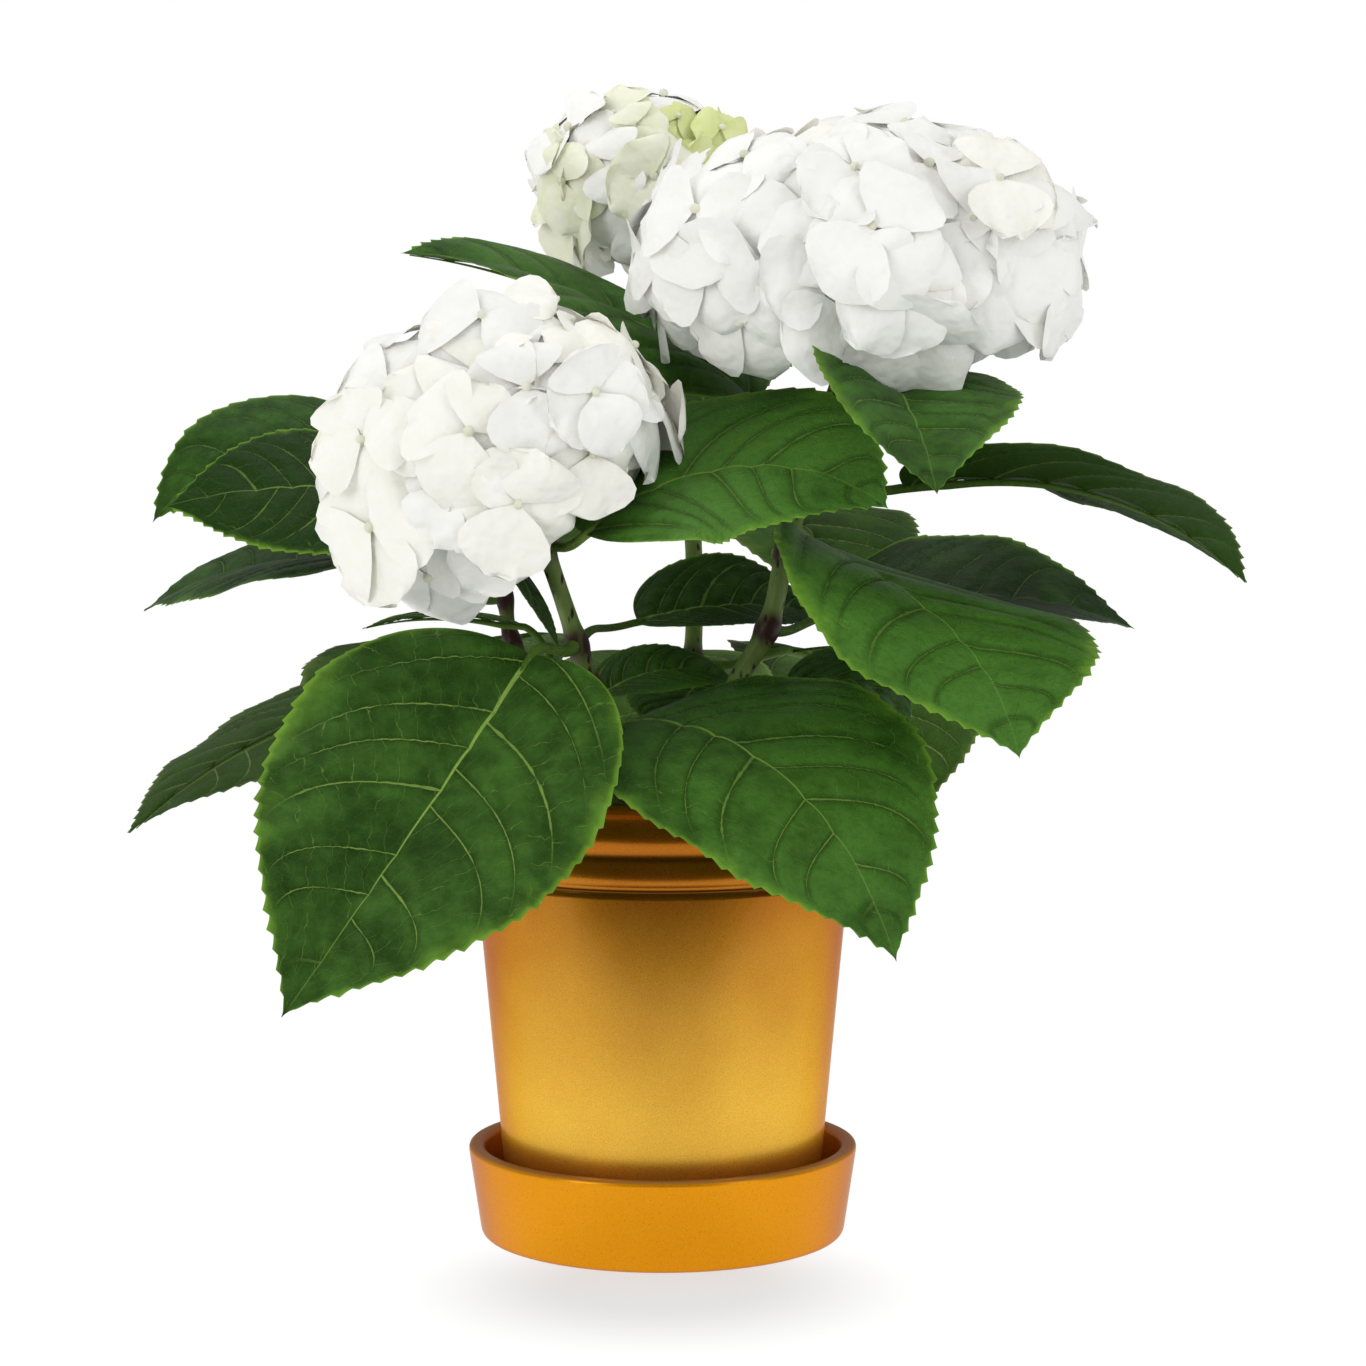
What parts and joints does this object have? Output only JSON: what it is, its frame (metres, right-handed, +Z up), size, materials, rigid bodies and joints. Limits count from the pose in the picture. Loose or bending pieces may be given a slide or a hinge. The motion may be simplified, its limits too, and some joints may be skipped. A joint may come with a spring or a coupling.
{
  "type": "potted hydrangea shrub",
  "caption": "Mophead hydrangea with large toothed leaves and white flower heads, in a glazed round pot on its saucer.",
  "frame": {"origin": "middle of the saucer's flat underside, which the potted plant stands on", "axes": "+Z up along the pot's axis, +X to the right of the plant's front, +Y to its back"},
  "size_m": [0.4623, 0.4021, 0.468],
  "materials": {
    "glaze": "glossy ochre glaze on stoneware",
    "compost": "moist dark potting compost",
    "stem": "green bark with small dark specks",
    "leaf": "quilted, softly glossy green leaf with paler veins",
    "petal": "thin matt white petals"
  },
  "bodies": {
    "root": {"saucer": "glaze", "pot": "glaze", "compost": "compost", "stem_left": "stem", "stem_right": "stem", "stem_back": "stem", "stem_back_left": "stem", "leaf_front_left": "leaf", "leaf_front_right": "leaf", "leaf_left_low": "leaf", "leaf_right_low": "leaf", "leaf_right_front": "leaf", "leaf_right_back": "leaf", "leaf_left_mid": "leaf", "leaf_left_small": "leaf", "leaf_inner_upper": "leaf", "leaf_inner_lower": "leaf", "leaf_inner_pale": "leaf", "leaf_inner_hanging": "leaf", "leaf_centre": "leaf", "leaf_left": "leaf", "leaf_left_high": "leaf", "leaf_far_right": "leaf", "leaf_under_bloom": "leaf", "leaf_upper_left": "leaf", "leaf_back_low_right": "leaf", "leaf_back_low_left": "leaf", "leaf_back_low": "leaf", "leaf_back_left": "leaf", "leaf_back_right": "leaf", "leaf_back_high": "leaf", "bloom_left": "petal", "bloom_right": "petal", "bloom_back": "petal"}
  },
  "joints": []
}
